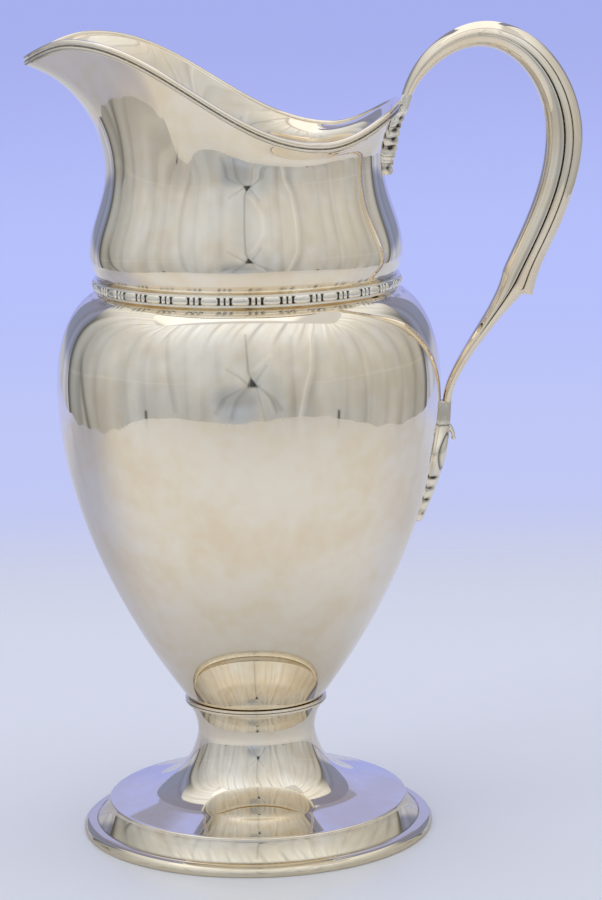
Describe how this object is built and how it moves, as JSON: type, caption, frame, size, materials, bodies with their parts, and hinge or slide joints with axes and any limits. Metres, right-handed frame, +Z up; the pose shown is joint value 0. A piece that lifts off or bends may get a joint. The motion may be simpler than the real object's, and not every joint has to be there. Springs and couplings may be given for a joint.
{
  "type": "silver ewer",
  "caption": "Polished silver water ewer: ovoid body on a trumpet pedestal, bead-and-reel band, waisted neck drawn out into a broad spout, and a high looped handle on leaf terminals.",
  "frame": {"origin": "axis of the body at the table plane", "axes": "+Z up along the axis of the body, +X from the axis towards the handle, -X towards the spout"},
  "size_m": [0.1874, 0.1314, 0.2777],
  "materials": {
    "silver_body": "polished",
    "silver_wire": "polished",
    "silver_handle": "polished",
    "silver_cast": "satin"
  },
  "bodies": {
    "root": {"foot_wire": "silver_wire", "pedestal": "silver_body", "collar_ring": "silver_wire", "bowl": "silver_body", "bead_band": "silver_cast", "neck": "silver_body", "rim_wire": "silver_wire", "handle_near_half": "silver_handle", "handle_far_half": "silver_handle", "upper_leaf": "silver_cast", "lower_leaf": "silver_cast"}
  },
  "joints": []
}
